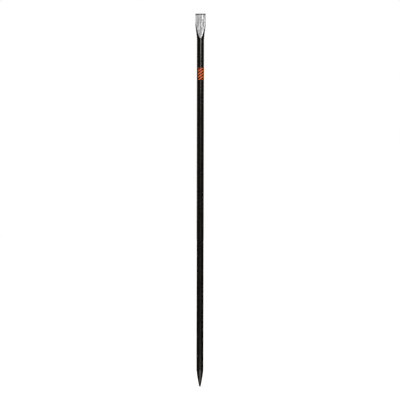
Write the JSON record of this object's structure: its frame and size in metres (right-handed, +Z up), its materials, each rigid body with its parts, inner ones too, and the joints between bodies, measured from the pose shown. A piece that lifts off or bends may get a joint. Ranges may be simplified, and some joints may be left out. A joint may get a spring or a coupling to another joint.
{
  "type": "digging bar",
  "caption": "Long round forged steel bar with a wide ground chisel blade at the top and a tapered round point at the bottom, black enamelled, for breaking, prying and digging.",
  "frame": {"origin": "on the bar's axis at mid-length, where one hand or a rack clip holds it near its balance point", "axes": "+Z up the bar's axis from the point to the chisel's cutting edge; X across the blade's width; -Y the side with the printed mark"},
  "size_m": [0.041, 0.0287, 1.5],
  "materials": {
    "forged_steel": "satin",
    "black_enamel": "satin",
    "orange_print": "satin"
  },
  "bodies": {
    "root": {"forged_bar": "forged_steel", "enamel_coat": "black_enamel", "printed_mark": "orange_print"}
  },
  "joints": []
}
